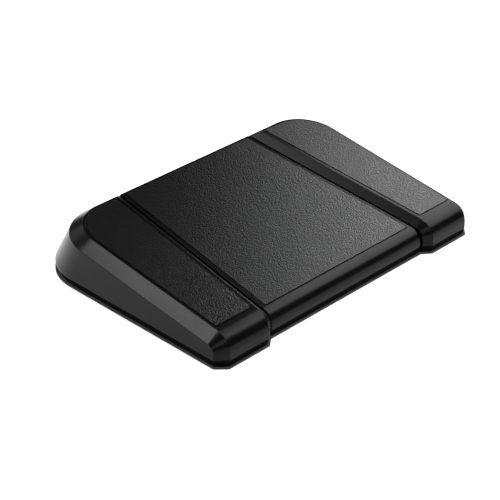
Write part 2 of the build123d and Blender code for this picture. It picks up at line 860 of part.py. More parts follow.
def main_board():
    """The long circuit board, with a tongue to the inlet."""
    thickness = (board_bottom, board_top)
    board = block((-board_reach, board_reach), (board_front, board_rear), thickness)
    board = fillet(board.edges().filter_by(Axis.Z), board_corner_radius)
    reach = tongue_width / 2
    board += block((-reach, reach), (board_rear - overrun, port_front - tongue_gap), thickness)
    for x, y in board_holes:
        board -= standing(x, y, 0, above_all, screw_radius + board_hole_play)
    return board


def inlet_section(grow):
    """The inlet's rounded section, seen from behind, grown by a clearance."""
    sketch = RectangleRounded(inlet_width + 2 * grow, inlet_height + 2 * grow, inlet_corner_radius + grow)
    return Plane(origin=(0, inlet_mouth, inlet_middle), x_dir=(1, 0, 0), z_dir=(0, -1, 0)) * sketch


def inlet_shell():
    """The inlet's steel shell, open at its mouth."""
    shell = extrude(inlet_section(0), amount=inlet_length)
    return shell - extrude(inlet_section(-inlet_wall), amount=inlet_length - inlet_wall)


def inlet_tongue():
    """The contact tongue and the block that holds it in the shell."""
    closed_end = inlet_mouth - inlet_length + inlet_wall
    block_front = inlet_mouth - tongue_plate_length
    core = extrude(inlet_section(-inlet_wall), amount=inlet_length - inlet_wall)
    rear_block = core & block((-port_width, port_width), (closed_end, block_front), (0, above_all))
    width = (-tongue_plate_width / 2, tongue_plate_width / 2)
    thick = (inlet_middle - tongue_plate_thickness / 2, inlet_middle + tongue_plate_thickness / 2)
    return rear_block + block(width, (closed_end, inlet_mouth - inlet_wall), thick)


def port_housing():
    """The block round the inlet, with a recess that takes the plug's grip."""
    reach = port_width / 2
    body = block((-reach, reach), (port_front, tray_rear), (floor_top, port_top))
    mouth = Plane(origin=(0, tray_rear + overrun, inlet_middle), x_dir=(1, 0, 0), z_dir=(0, -1, 0))
    recess = mouth * RectangleRounded(port_recess_width, port_recess_height, port_recess_radius)
    body -= extrude(recess, amount=tray_rear + overrun - inlet_mouth)
    return body - extrude(inlet_section(port_play), amount=inlet_length)


def chip(x, y, length, width, height):
    """A small flat part soldered on the board."""
    return block((x - length / 2, x + length / 2), (y - width / 2, y + width / 2), (board_top, board_top + height))


def small_row(y, height):
    """A row of small soldered parts."""
    places = [small_row_x + index * small_row_pitch for index in range(small_row_count)]
    return [chip(x, y, chip_cap_length, chip_cap_width, height) for x in places]


def main():
    os.makedirs("parts", exist_ok=True)

    save("anti_slip_mat", extrude(outline, amount=mat_thickness))
    save("base_tray", base_tray())
    save("ballast_plate", ballast_plate())
    ballast_top = floor_top + ballast_thickness
    save("ballast_screws", *[screw(x, y, ballast_top) for x, y in ballast_holes])

    pad, pocket = tread_pair(side_tread_corners, side_plane_height, top_edge_radius - tread_outer_border)
    cap = side_cap(pocket)
    save("right_cap", cap)
    save("right_tread", pad)
    save("left_cap", flipped(cap))
    save("left_tread", flipped(pad))
    pad, pocket = tread_pair(middle_tread_corners, middle_plane_height, tread_corner_radius)
    save("middle_cap", middle_cap(pocket))
    save("middle_tread", pad)

    low, high = rod_ends(side_ear_span, side_hinge_x)
    rod = hinge_rod(low, high, side_hinge_y, side_hinge_z)
    clips = [rod_clip(x, side_hinge_y, side_hinge_z) for x in (clip_low(low), clip_high(high))]
    clips += [flipped(clip) for clip in clips]
    save("right_hinge_rod", rod)
    save("left_hinge_rod", flipped(rod))
    low, high = rod_ends(middle_ear_span, 0)
    save("middle_hinge_rod", hinge_rod(low, high, middle_hinge_y, middle_hinge_z))
    clips += [rod_clip(x, middle_hinge_y, middle_hinge_z) for x in (clip_low(low), clip_high(high))]
    save("hinge_clips", *clips)

    bumper_low = floor_top + stop_post_height
    stop_spots = side_stops + [-x for x in side_stops] + middle_stops
    bumper_top = bumper_low + bumper_height
    bumpers = [standing(x, stop_y, bumper_low, bumper_top, bumper_radius) for x in stop_spots]
    save("stop_bumpers", *bumpers)

    spring_low = floor_top + spring_seat_gap
    spring_high = spring_seat_height - spring_seat_gap
    spring = coil(spring_radius, spring_wire_radius, spring_turns, spring_low, spring_high)
    shoulder_low = stem_shoulder_top - stem_shoulder_height
    switch_low = board_top + switch_floor + switch_spring_gap
    switch_high = shoulder_low - switch_spring_gap
    wire_radius = switch_spring_wire_radius
    switch_spring = coil(switch_spring_radius, wire_radius, switch_spring_turns, switch_low, switch_high)

    striker_low = stem_top + striker_gap
    switch_xs = {"left": -side_switch_x, "middle": 0, "right": side_switch_x}
    spring_xs = {"left": [-x for x in side_spots], "middle": middle_spots, "right": side_spots}
    for side, x in switch_xs.items():
        save(f"{side}_return_springs", *[Pos(place, spring_y, 0) * spring for place in spring_xs[side]])
        save(f"{side}_switch_housing", switch_housing(x))
        save(f"{side}_switch_stem", switch_stem(x))
        save(f"{side}_switch_spring", Pos(x, switch_y, 0) * switch_spring)
        save(f"{side}_striker", standing(x, switch_y, striker_low, striker_low + striker_height, striker_radius))

    save("main_board", main_board())
    save("board_screws", *[screw(x, y, board_top) for x, y in board_holes])
    save("usb_inlet_shell", inlet_shell())
    save("usb_inlet_tongue", inlet_tongue())
    save("port_housing", port_housing())
    save("controller_chip", chip(chip_x, small_part_y, chip_width, chip_width, chip_height))
    save("board_crystal", chip(crystal_x, small_part_y, crystal_length, crystal_width, crystal_height))
    regulator = chip(regulator_x, small_part_y, regulator_length, regulator_width, regulator_height)
    save("voltage_regulator", regulator)
    save("board_capacitors", *small_row(capacitor_row_y, chip_cap_height))
    save("board_resistors", *small_row(resistor_row_y, chip_resistor_height))


main()
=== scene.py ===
import math

import bmesh
import bpy
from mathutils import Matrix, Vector


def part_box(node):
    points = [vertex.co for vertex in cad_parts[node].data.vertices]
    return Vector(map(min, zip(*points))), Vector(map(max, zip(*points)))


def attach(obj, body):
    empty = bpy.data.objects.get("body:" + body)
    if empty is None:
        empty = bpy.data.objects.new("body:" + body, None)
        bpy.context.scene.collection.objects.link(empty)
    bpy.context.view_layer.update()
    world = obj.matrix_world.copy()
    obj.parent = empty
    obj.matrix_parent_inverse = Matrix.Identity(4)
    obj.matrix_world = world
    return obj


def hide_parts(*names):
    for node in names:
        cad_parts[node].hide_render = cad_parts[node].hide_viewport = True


bl_info = {
    "name": "Foot Pedal Switch",
    "version": (1, 0, 0),
    "blender": (4, 5, 0),
    "location": "View3D > Sidebar > Foot Switch",
    "description": "Dresses the three-pedal foot switch with its finishes, mat, contacts and studio",
    "category": "Object",
}

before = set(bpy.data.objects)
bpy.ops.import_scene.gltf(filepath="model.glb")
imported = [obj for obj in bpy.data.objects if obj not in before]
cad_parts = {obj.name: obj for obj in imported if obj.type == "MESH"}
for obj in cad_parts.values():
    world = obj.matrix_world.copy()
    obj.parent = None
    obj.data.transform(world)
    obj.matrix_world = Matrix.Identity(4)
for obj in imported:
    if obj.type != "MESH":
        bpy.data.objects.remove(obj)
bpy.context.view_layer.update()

MM = 0.001
SIDES = ("left", "middle", "right")

# Material nodes

EDGE_SAMPLES = 6

# The Mix node's sockets for colours, found by number because those for plain values share their names
MIX_SHARE, MIX_LOW, MIX_HIGH, MIX_RESULT = 0, 6, 7, 2


class Term:
    """A number in a material that Python arithmetic works on."""

    def __init__(self, tree, socket):
        self.tree = tree
        self.socket = socket

    def worked(self, operation, first, second):
        node = self.tree.nodes.new("ShaderNodeMath")
        node.operation = operation
        feed(self.tree, node.inputs[0], first)
        feed(self.tree, node.inputs[1], second)
        return Term(self.tree, node.outputs[0])

    def __add__(self, other):
        return self.worked("ADD", self, other)

    def __radd__(self, other):
        return self.worked("ADD", other, self)

    def __sub__(self, other):
        return self.worked("SUBTRACT", self, other)

    def __rsub__(self, other):
        return self.worked("SUBTRACT", other, self)

    def __mul__(self, other):
        return self.worked("MULTIPLY", self, other)

    def __rmul__(self, other):
        return self.worked("MULTIPLY", other, self)


def feed(tree, socket, value):
    """Links a term to a socket, or sets the socket to a plain value."""
    if isinstance(value, Term):
        tree.links.new(value.socket, socket)
    elif socket.type == "RGBA" and len(value) == 3:
        socket.default_value = (*value, 1.0)
    else:
        socket.default_value = value


class Finish:
    """A material for one of the object's surfaces."""

    def __init__(self, name):
        self.material = bpy.data.materials.new(name)
        self.material.use_nodes = True
        self.tree = self.material.node_tree
        self.tree.nodes.clear()
        self.place = self.node("ShaderNodeTexCoord", output="Object")

    def node(self, kind, settings=None, sockets=None, output=0):
        """Adds a node, with its settings first and then the values or links of its sockets."""
        node = self.tree.nodes.new(kind)
        for name, value in (settings or {}).items():
            if name == "stops":
                fill_ramp(node.color_ramp, value)
            else:
                setattr(node, name, value)
        for name, value in (sockets or {}).items():
            feed(self.tree, node.inputs[name], value)
        return Term(self.tree, node.outputs[output])

    def noise(self, size, detail=2.0, roughness=0.5, where=None):
        """Soft random values from 0 to 1, with patches of a size in metres."""
        sockets = {
            "Vector": where or self.place, "Scale": 1 / size, "Detail": detail, "Roughness": roughness}
        return self.node("ShaderNodeTexNoise", sockets=sockets)

    def cells(self, size, output="Distance"):
        """Random cells of a size in metres, as the distances within them or as their colours."""
        sockets = {"Vector": self.place, "Scale": 1 / size}
        return self.node("ShaderNodeTexVoronoi", sockets=sockets, output=output)

    def ramp(self, value, stops):
        """A value from 0 to 1 turned into a colour."""
        return self.node("ShaderNodeValToRGB", {"stops": stops}, {"Fac": value})

    def mixed(self, share, low, high):
        """A colour between two others."""
        sockets = {MIX_SHARE: share, MIX_LOW: low, MIX_HIGH: high}
        return self.node("ShaderNodeMix", {"data_type": "RGBA"}, sockets, output=MIX_RESULT)

    def limited(self, value, low, high):
        """A value held between two limits."""
        return self.node("ShaderNodeClamp", sockets={"Value": value, "Min": low, "Max": high})

    def soft_edges(self, radius):
        """Surface directions with every edge rounded by a radius in metres."""
        return self.node("ShaderNodeBevel", {"samples": EDGE_SAMPLES}, {"Radius": radius})

    def bumped(self, height, depth, normal):
        """Surface directions over a relief of a depth in metres."""
        sockets = {"Height": height, "Distance": depth, "Strength": 1.0, "Normal": normal}
        return self.node("ShaderNodeBump", sockets=sockets)

    def finished(self, **sockets):
        """Closes the material with a principled surface, and gives the material."""
        names = {name.replace("_", " "): value for name, value in sockets.items()}
        surface = self.node("ShaderNodeBsdfPrincipled", sockets=names)
        end = self.tree.nodes.new("ShaderNodeOutputMaterial")
        self.tree.links.new(surface.socket, end.inputs["Surface"])
        return self.material


def fill_ramp(ramp, stops):
    """Sets a colour ramp's stops, each a place and a colour."""
    while len(ramp.elements) > len(stops):
        ramp.elements.remove(ramp.elements[-1])
    while len(ramp.elements) < len(stops):
        ramp.elements.new(1.0)
    for element, (place, colour) in zip(ramp.elements, stops):
        element.position = place
        element.color = (*colour, 1.0)


def tinted(colour, factor):
    """A colour made lighter or darker."""
    return tuple(min(1.0, part * factor) for part in colour)


def dress(node, material):
    """Gives a carried-over node its material."""
    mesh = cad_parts[node].data
    if not mesh.materials:
        mesh.materials.append(material)
    for index in range(len(mesh.materials)):
        mesh.materials[index] = material


# Finishes

# The tray's black and low gloss are painted shade: darker than the moulding's own black, for the gap under
# the caps' skirts
TRAY_BLACK_WITH_PAINTED_SHADE = (0.0012, 0.0012, 0.0013)
TRAY_GLOSS = 0.04
STRIKER_BLACK = (0.018, 0.018, 0.018)
HOUSING_BLACK = (0.03, 0.03, 0.032)
CHIP_BLACK = (0.02, 0.02, 0.02)
STEM_WHITE = (0.7, 0.7, 0.67)
CERAMIC_BROWN = (0.3, 0.2, 0.12)
ROD_STEEL = (0.62, 0.62, 0.63)
WIRE_STEEL = (0.36, 0.36, 0.38)
PLATE_STEEL = (0.5, 0.5, 0.51)
CAN_STEEL = (0.6, 0.6, 0.6)
INLET_NICKEL = (0.58, 0.57, 0.55)
ZINC_SHADES = ((0.42, 0.43, 0.45), (0.6, 0.61, 0.62))
MASK_GREENS = ((0.008, 0.05, 0.022), (0.014, 0.075, 0.035))
TRACK_GREEN = (0.03, 0.14, 0.06)
SILICONE_SHADES = ((0.5, 0.5, 0.48), (0.66, 0.66, 0.64))
GOLD_SHADES = ((0.75, 0.5, 0.16), (0.95, 0.7, 0.3))


def satin_moulding(cap):
    """The caps' smooth black moulding: fine spark-eroded skin, faint handling marks and softened edges."""
    finish = Finish("satin_moulding")
    skin = finish.noise(0.55 * MM, detail=3.0, roughness=0.6)
    marks = finish.noise(26 * MM, detail=4.0, roughness=0.65)
    streaks = finish.noise(3.5 * MM, detail=2.0)
    tone = finish.limited(marks * 0.6 + streaks * 0.25 + skin * 0.15, 0.0, 1.0)
    colour = finish.ramp(tone, [(0.3, tinted(cap.colour, 0.8)), (0.7, tinted(cap.colour, 1.2))])
    roughness = cap.roughness - 0.06 + marks * 0.08 + skin * 0.05
    normal = finish.bumped(skin, cap.grain_depth, finish.soft_edges(cap.edge_round))
    return finish.finished(
        Base_Color=colour, Roughness=roughness, Normal=normal, Specular_IOR_Level=cap.gloss)


def pebbled_moulding_with_painted_light(tread):
    """The treads' grain: small rounded pebbles of uneven size, with painted highlights that make their tops
    a little lighter and painted shade between them.
    """
    finish = Finish("pebbled_moulding_with_painted_light")
    height = 1 - finish.cells(tread.grain) * 1.1
    marks = finish.noise(38 * MM, detail=3.0, roughness=0.6)
    # Colour from the pebbles' height: painted highlights on their tops and painted shade between them, plus
    # random marks
    tone = finish.limited(height * 0.55 + marks * 0.2 - 0.15, 0.0, 1.0)
    colour = finish.ramp(tone, [(0.25, tinted(tread.colour, 0.65)), (0.8, tinted(tread.colour, 1.3))])
    roughness = tread.roughness + marks * 0.03
    normal = finish.bumped(height, tread.grain_depth, finish.soft_edges(tread.edge_round))
    return finish.finished(
        Base_Color=colour, Roughness=roughness, Normal=normal, Specular_IOR_Level=tread.gloss)


def matt_rubber(name, colour):
    """Soft black rubber with a dusty bloom."""
    finish = Finish(name)
    fine = finish.noise(0.4 * MM, detail=3.0, roughness=0.7)
    bloom = finish.noise(9 * MM, detail=4.0, roughness=0.65)
    share = finish.limited(bloom * 0.7 + fine * 0.3, 0.0, 1.0)
    shade = finish.mixed(share, tinted(colour, 0.7), tinted(colour, 1.35))
    normal = finish.bumped(fine + bloom * 2, 0.03 * MM, finish.soft_edges(0.15 * MM))
    return finish.finished(Base_Color=shade, Roughness=0.82 + fine * 0.1, Normal=normal)


def tray_moulding_with_painted_shade():
    """The tray's matt moulding, its black darkened past its own as painted shade for the gap under the caps'
    skirts.
    """
    finish = Finish("tray_moulding_with_painted_shade")
    fine = finish.noise(0.3 * MM, detail=2.0)
    broad = finish.noise(14 * MM, detail=3.0)
    shade = finish.mixed(broad, tinted(TRAY_BLACK_WITH_PAINTED_SHADE, 0.75), tinted(TRAY_BLACK_WITH_PAINTED_SHADE, 1.25))
    normal = finish.bumped(fine, 0.02 * MM, finish.soft_edges(0.2 * MM))
    return finish.finished(
        Base_Color=shade, Roughness=0.6 + fine * 0.15, Normal=normal, Specular_IOR_Level=TRAY_GLOSS)


def drawn_steel(name, colour, roughness, stretch):
    """Steel with fine marks along one axis, as a rod or wire has from drawing or a plate from rolling."""
    finish = Finish(name)
    lines = finish.node("ShaderNodeMapping", sockets={"Vector": finish.place, "Scale": stretch})
    marks = finish.noise(0.35 * MM, detail=3.0, where=lines)
    stain = finish.noise(6 * MM, detail=4.0, roughness=0.7)
    shade = finish.mixed(stain * 0.6 + marks * 0.4, tinted(colour, 0.8), tinted(colour, 1.1))
    normal = finish.bumped(marks, 0.004 * MM, finish.soft_edges(0.08 * MM))
    rough = roughness + marks * 0.12 + stain * 0.08
    return finish.finished(Base_Color=shade, Metallic=1.0, Roughness=rough, Normal=normal)


def zinc_plate():
    """Zinc plating with its frosty crystals."""
    finish = Finish("zinc_plate")
    grey = finish.node("ShaderNodeRGBToBW", sockets={"Color": finish.cells(2.2 * MM, output="Color")})
    cloud = finish.noise(8 * MM, detail=3.0)
    share = finish.limited(grey * 0.6 + cloud * 0.4, 0.0, 1.0)
    shade = finish.mixed(share, *ZINC_SHADES)
    normal = finish.bumped(grey, 0.004 * MM, finish.soft_edges(0.1 * MM))
    return finish.finished(Base_Color=shade, Metallic=1.0, Roughness=0.32 + cloud * 0.18, Normal=normal)


def board_mask():
    """Green solder mask over copper tracks and the laminate's weave."""
    finish = Finish("board_mask")
    weave = finish.noise(0.8 * MM, detail=2.0)
    tracks = finish.node("ShaderNodeTexBrick", {"offset": 0.5}, {
        "Vector": finish.place, "Color1": (0, 0, 0), "Color2": (0, 0, 0), "Mortar": (1, 1, 1),
        "Scale": 1 / (9 * MM), "Mortar Size": 0.018, "Brick Width": 1.6, "Row Height": 0.28})
    line = finish.node("ShaderNodeRGBToBW", sockets={"Color": tracks})
    ground = finish.mixed(weave, *MASK_GREENS)
    shade = finish.mixed(line, ground, TRACK_GREEN)
    normal = finish.bumped(line * 0.8 + weave * 0.2, 0.02 * MM, finish.soft_edges(0.1 * MM))
    return finish.finished(Base_Color=shade, Roughness=0.28 + weave * 0.14, Normal=normal)


def moulded_resin(name, colour, roughness):
    """Fine-grained moulded resin or ceramic of a small part."""
    finish = Finish(name)
    fine = finish.noise(0.12 * MM, detail=3.0, roughness=0.6)
    broad = finish.noise(2.5 * MM, detail=2.0)
    shade = finish.mixed(broad * 0.6 + fine * 0.4, tinted(colour, 0.75), tinted(colour, 1.2))
    normal = finish.bumped(fine, 0.006 * MM, finish.soft_edges(0.08 * MM))
    return finish.finished(Base_Color=shade, Roughness=roughness + fine * 0.12, Normal=normal)


def clear_silicone():
    """Milky silicone of the bumpers."""
    finish = Finish("clear_silicone")
    cloud = finish.noise(1.6 * MM, detail=3.0)
    shade = finish.mixed(cloud, *SILICONE_SHADES)
    normal = finish.bumped(cloud, 0.02 * MM, finish.soft_edges(0.3 * MM))
    return finish.finished(Base_Color=shade, Roughness=0.42 + cloud * 0.16, Normal=normal)


def gold_contact():
    """Gold flash on the inlet's contacts."""
    finish = Finish("gold_contact")
    wear = finish.noise(0.3 * MM, detail=3.0)
    shade = finish.mixed(wear, *GOLD_SHADES)
    return finish.finished(Base_Color=shade, Metallic=1.0, Roughness=0.2 + wear * 0.2)


def studio_paper(colour):
    """The pale floor."""
    finish = Finish("studio_paper")
    fibre = finish.noise(4 * MM, detail=2.0)
    shade = finish.mixed(fibre, tinted(colour, 0.995), colour)
    return finish.finished(Base_Color=shade, Roughness=0.9)


# Meshes

SMOOTH_ANGLE = math.radians(60)
STUD_SIDES = 12
STUD_GRID_TURN = math.radians(45)
STUD_RAY_LENGTH = 10 * MM

# How far a rounded edge's middle lies in from its corner, as a share of its radius
ROUND_INSET = 0.3

# How far a stud's middle stays inside the field's edge, in radii of a stud
STUD_ROOM = 1.4


def shown_mesh(name, sheet):
    """A plain mesh made from a finished sheet of faces."""
    mesh = bpy.data.meshes.new(name)
    sheet.to_mesh(mesh)
    sheet.free()
    return mesh


def mesh_object(name, mesh, smooth_angle=None):
    """An object at the origin that carries a finished mesh."""
    piece = bpy.data.objects.new(name, mesh)
    bpy.context.scene.collection.objects.link(piece)
    if smooth_angle is not None:
        for polygon in mesh.polygons:
            polygon.use_smooth = True
        mesh.set_sharp_from_angle(angle=smooth_angle)
    return piece


def base_outline(mat):
    """The base seen from above, anticlockwise, with its wings and round rear corners."""
    low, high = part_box("anti_slip_mat")
    half_width = (high[0] - low[0]) / 2
    half_depth = (high[1] - low[1]) / 2
    front = -half_depth
    right = [
        (mat.wing_root, front + mat.wing_setback),
        (mat.wing_tip, front),
        (half_width - mat.corner_cut, front),
        (half_width, front + mat.corner_cut),
    ]
    middle = Vector((half_width - mat.corner_radius, half_depth - mat.corner_radius))
    for step in range(mat.corner_steps + 1):
        angle = math.pi / 2 * step / mat.corner_steps
        reach = Vector((math.cos(angle), math.sin(angle))) * mat.corner_radius
        right.append(tuple(middle + reach))
    left = [(-x, y) for x, y in reversed(right)]
    return [Vector(point) for point in right + left]


def drawn_in(points, inset):
    """An anticlockwise outline moved inwards by an inset."""
    moved = []
    for index, point in enumerate(points):
        before = (point - points[index - 1]).normalized()
        after = (points[(index + 1) % len(points)] - point).normalized()
        inward = Vector((-before.y - after.y, before.x + after.x)).normalized()
        reach = inward.dot(Vector((-before.y, before.x)))
        moved.append(point + inward * inset / reach)
    return moved


def mat_mesh(mat):
    """The mat: a slab with softened edges, and a shallow field underneath for its studs."""
    outline = base_outline(mat)
    low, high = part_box("anti_slip_mat")
    top = high[2]
    edge = mat.edge_round
    inset = edge * ROUND_INSET
    rings = [
        (edge, top),
        (inset, top - inset),
        (0.0, top - edge),
        (0.0, edge),
        (inset, inset),
        (edge, low[2]),
        (mat.border, low[2]),
        (mat.border + mat.field_depth, mat.field_depth),
    ]
    sheet = bmesh.new()
    loops = []
    for distance, height in rings:
        loops.append([sheet.verts.new((p.x, p.y, height)) for p in drawn_in(outline, distance)])
    for upper, lower in zip(loops, loops[1:]):
        for index in range(len(outline)):
            after = (index + 1) % len(outline)
            sheet.faces.new((upper[index], lower[index], lower[after], upper[after]))
    sheet.faces.new(loops[0])
    sheet.faces.new(list(reversed(loops[-1])))
    bmesh.ops.recalc_face_normals(sheet, faces=sheet.faces)
    return shown_mesh("mat_body", sheet)


def field_mesh(mat):
    """The flat field that the studs stand on, a little inside the field's edge."""
    sheet = bmesh.new()
    room = mat.border + mat.field_depth + mat.stud_radius * STUD_ROOM
    points = drawn_in(base_outline(mat), room)
    sheet.faces.new([sheet.verts.new((p.x, p.y, mat.field_depth)) for p in points])
    return shown_mesh("stud_field", sheet)


# Geometry node trees

class Growth:
    """A geometry node tree with named inputs."""

    def __init__(self, name, inputs):
        self.tree = bpy.data.node_groups.new(name, "GeometryNodeTree")
        face = self.tree.interface
        face.new_socket("Geometry", in_out="INPUT", socket_type="NodeSocketGeometry")
        self.names = {}
        for label, kind in inputs.items():
            self.names[label] = face.new_socket(label, in_out="INPUT", socket_type=kind).identifier
        face.new_socket("Geometry", in_out="OUTPUT", socket_type="NodeSocketGeometry")
        self.given = self.tree.nodes.new("NodeGroupInput")

    def node(self, kind, settings=None, sockets=None):
        """Adds a node, with its settings first and then the values or links of its sockets."""
        node = self.tree.nodes.new(kind)
        for name, value in (settings or {}).items():
            setattr(node, name, value)
        for name, value in (sockets or {}).items():
            if isinstance(value, bpy.types.NodeSocket):
                self.tree.links.new(value, node.inputs[name])
            else:
                node.inputs[name].default_value = value
        return node

    def value(self, label):
        """The socket of a named input."""
        return self.given.outputs[label]

    def placed(self, points, instance):
        """Copies of a shape on points, made real and given the tree's material."""
        copies = self.node(
            "GeometryNodeInstanceOnPoints", sockets={"Points": points, "Instance": instance})
        real = self.node(
            "GeometryNodeRealizeInstances", sockets={"Geometry": copies.outputs["Instances"]})
        coat = self.node("GeometryNodeSetMaterial", sockets={
            "Geometry": real.outputs["Geometry"], "Material": self.value("Material")})
        end = self.tree.nodes.new("NodeGroupOutput")
        self.tree.links.new(coat.outputs["Geometry"], end.inputs["Geometry"])


def grown(name, mesh, growth, values):
    """Runs a tree over a mesh once and gives its result as a plain object."""
    seed = bpy.data.objects.new(name + "_seed", mesh)
    bpy.context.scene.collection.objects.link(seed)
    modifier = seed.modifiers.new("growth", "NODES")
    modifier.node_group = growth.tree
    for label, value in values.items():
        modifier[growth.names[label]] = value
    bpy.context.view_layer.update()
    shown = seed.evaluated_get(bpy.context.evaluated_depsgraph_get())
    result = bpy.data.meshes.new_from_object(shown)
    seed.modifiers.remove(modifier)
    bpy.data.objects.remove(seed)
    return mesh_object(name, result)


def stud_growth():
    """A slanting grid of low studs that keeps only those within the field."""
    growth = Growth("mat_studs", {
        "Width": "NodeSocketFloat", "Columns": "NodeSocketInt", "Radius": "NodeSocketFloat",
        "Height": "NodeSocketFloat", "Centre": "NodeSocketVector", "Material": "NodeSocketMaterial"})
    grid = growth.node("GeometryNodeMeshGrid", sockets={
        "Size X": growth.value("Width"), "Size Y": growth.value("Width"),
        "Vertices X": growth.value("Columns"), "Vertices Y": growth.value("Columns")})
    turned = growth.node("GeometryNodeTransform", sockets={
        "Geometry": grid.outputs["Mesh"], "Translation": growth.value("Centre"),
        "Rotation": (0.0, 0.0, STUD_GRID_TURN)})
    points = growth.node("GeometryNodeMeshToPoints", sockets={"Mesh": turned.outputs["Geometry"]})
    ray = growth.node("GeometryNodeRaycast", sockets={
        "Target Geometry": growth.value("Geometry"), "Ray Direction": (0.0, 0.0, 1.0),
        "Ray Length": STUD_RAY_LENGTH})
    missed = growth.node("FunctionNodeBooleanMath", {"operation": "NOT"}, {0: ray.outputs["Is Hit"]})
    kept = growth.node("GeometryNodeDeleteGeometry", {"domain": "POINT"}, {
        "Geometry": points.outputs["Points"], "Selection": missed.outputs[0]})
    stud = growth.node("GeometryNodeMeshCone", {"fill_type": "NGON"}, {
        "Vertices": STUD_SIDES, "Radius Bottom": growth.value("Radius"),
        "Radius Top": growth.value("Radius"), "Depth": growth.value("Height")})
    growth.placed(kept.outputs["Geometry"], stud.outputs["Mesh"])
    return growth


def contact_growth():
    """A row of flat contacts."""
    growth = Growth("contact_row", {
        "Count": "NodeSocketInt", "Start": "NodeSocketVector", "Step": "NodeSocketVector",
        "Size": "NodeSocketVector", "Material": "NodeSocketMaterial"})
    row = growth.node("GeometryNodeMeshLine", {"mode": "OFFSET"}, {
        "Count": growth.value("Count"), "Start Location": growth.value("Start"),
        "Offset": growth.value("Step")})
    pad = growth.node("GeometryNodeMeshCube", sockets={"Size": growth.value("Size")})
    growth.placed(row.outputs["Mesh"], pad.outputs["Mesh"])
    return growth


# Studio

CAMERA_TARGET = Vector((0, 0, 0.02))
SENSOR_WIDTH = 36.0
VIEW_DEPTH = 20.0
FLOOR_SQUARES = 8
LIT_MIDDLE = (0.0, 0.0, 0.03)

# Each light's place, the point it faces, its size and its power in watts
STUDIO_LIGHTS = {
    "top_light": ((0.0, 0.0, 7.8), (0.0, 0.0, 0.0), (2.4, 2.4), 730.0),
    "camera_side_light": ((-1.0, -1.0, 0.85), LIT_MIDDLE, (0.9, 0.5), 4.0),
    "back_light": ((0.0, 1.15, 0.65), LIT_MIDDLE, (1.2, 0.4), 2.5),
    "low_right_light": ((0.692, 0.308, 0.416), LIT_MIDDLE, (0.2, 0.2), 1.613),
    "front_light": ((0.5, -0.182, 0.523), (0.0, -0.08, 0.03), (0.65, 0.4), 5.35),
    "left_light": ((-0.713, 0.517, 1.019), (-0.1, 0.0, 0.03), (0.39, 0.293), 6.72),
}


def soft_light(name, place, target, size, power):
    """A soft light that faces a point and that the camera doesn't see."""
    lamp = bpy.data.lights.new(name, "AREA")
    lamp.shape = "RECTANGLE"
    lamp.size, lamp.size_y = size
    lamp.energy = power
    light = bpy.data.objects.new(name, lamp)
    light.location = place
    light.rotation_euler = (Vector(target) - Vector(place)).to_track_quat("-Z", "Y").to_euler()
    light.visible_camera = False
    bpy.context.scene.collection.objects.link(light)


def studio_floor(stage):
    """The pale floor."""
    sheet = bmesh.new()
    bmesh.ops.create_grid(
        sheet, x_segments=FLOOR_SQUARES, y_segments=FLOOR_SQUARES, size=stage.floor_width / 2)
    mesh = shown_mesh("floor", sheet)
    floor = mesh_object("studio_floor", mesh)
    mesh.materials.append(studio_paper(stage.floor_colour))


def studio_room(brightness):
    """The white room around the object."""
    room = bpy.data.worlds.new("studio")
    room.use_nodes = True
    backdrop = room.node_tree.nodes["Background"]
    backdrop.inputs["Color"].default_value = (1.0, 1.0, 1.0, 1.0)
    backdrop.inputs["Strength"].default_value = brightness
    return room


def studio_camera(stage):
    """The camera, at its turn, rise and distance and with its aim."""
    back = Vector((
        -math.sin(stage.turn) * math.cos(stage.rise),
        -math.cos(stage.turn) * math.cos(stage.rise),
        math.sin(stage.rise)))
    right = Vector((math.cos(stage.turn), -math.sin(stage.turn), 0))
    up = back.cross(right)
    aim = -back + right * math.tan(stage.aim_right) + up * math.tan(stage.aim_up)
    lens = bpy.data.cameras.new("camera")
    lens.lens = stage.lens
    lens.sensor_width = SENSOR_WIDTH
    lens.clip_end = VIEW_DEPTH
    camera = bpy.data.objects.new("camera", lens)
    camera.location = CAMERA_TARGET + back * stage.distance
    camera.rotation_euler = aim.to_track_quat("-Z", "Y").to_euler()
    bpy.context.scene.collection.objects.link(camera)
    return camera


# Settings

class CapSettings(bpy.types.PropertyGroup):
    """The caps' smooth moulding."""
    colour: bpy.props.FloatVectorProperty(
        name="Colour", description="Colour of the caps", subtype="COLOR", size=3, min=0, max=1,
        default=(0.002, 0.002, 0.0022))
    roughness: bpy.props.FloatProperty(
        name="Roughness", description="How matt the caps are", default=0.24, min=0, max=1,
        subtype="FACTOR")
    gloss: bpy.props.FloatProperty(
        name="Gloss", description="How strongly the caps reflect", default=0.1, min=0, max=1,
        subtype="FACTOR")
    edge_round: bpy.props.FloatProperty(
        name="Edge round", description="Radius of the caps' edges", default=0.55 * MM, unit="LENGTH")
    grain_depth: bpy.props.FloatProperty(
        name="Grain depth", description="Depth of the caps' fine skin", default=0.012 * MM, unit="LENGTH")


class TreadSettings(bpy.types.PropertyGroup):
    """The treads' pebble grain."""
    colour: bpy.props.FloatVectorProperty(
        name="Colour", description="Colour of the treads", subtype="COLOR", size=3, min=0, max=1,
        default=(0.0022, 0.0022, 0.0024))
    roughness: bpy.props.FloatProperty(
        name="Roughness", description="How matt the treads are", default=0.28, min=0, max=1,
        subtype="FACTOR")
    gloss: bpy.props.FloatProperty(
        name="Gloss", description="How strongly the treads reflect", default=0.2, min=0, max=1,
        subtype="FACTOR")
    grain: bpy.props.FloatProperty(
        name="Grain size", description="Width of a pebble of the grain", default=1.0 * MM, unit="LENGTH")
    grain_depth: bpy.props.FloatProperty(
        name="Grain depth", description="Depth of the grain", default=0.15 * MM, unit="LENGTH")
    edge_round: bpy.props.FloatProperty(
        name="Edge round", description="Radius of the treads' edges", default=0.12 * MM, unit="LENGTH")


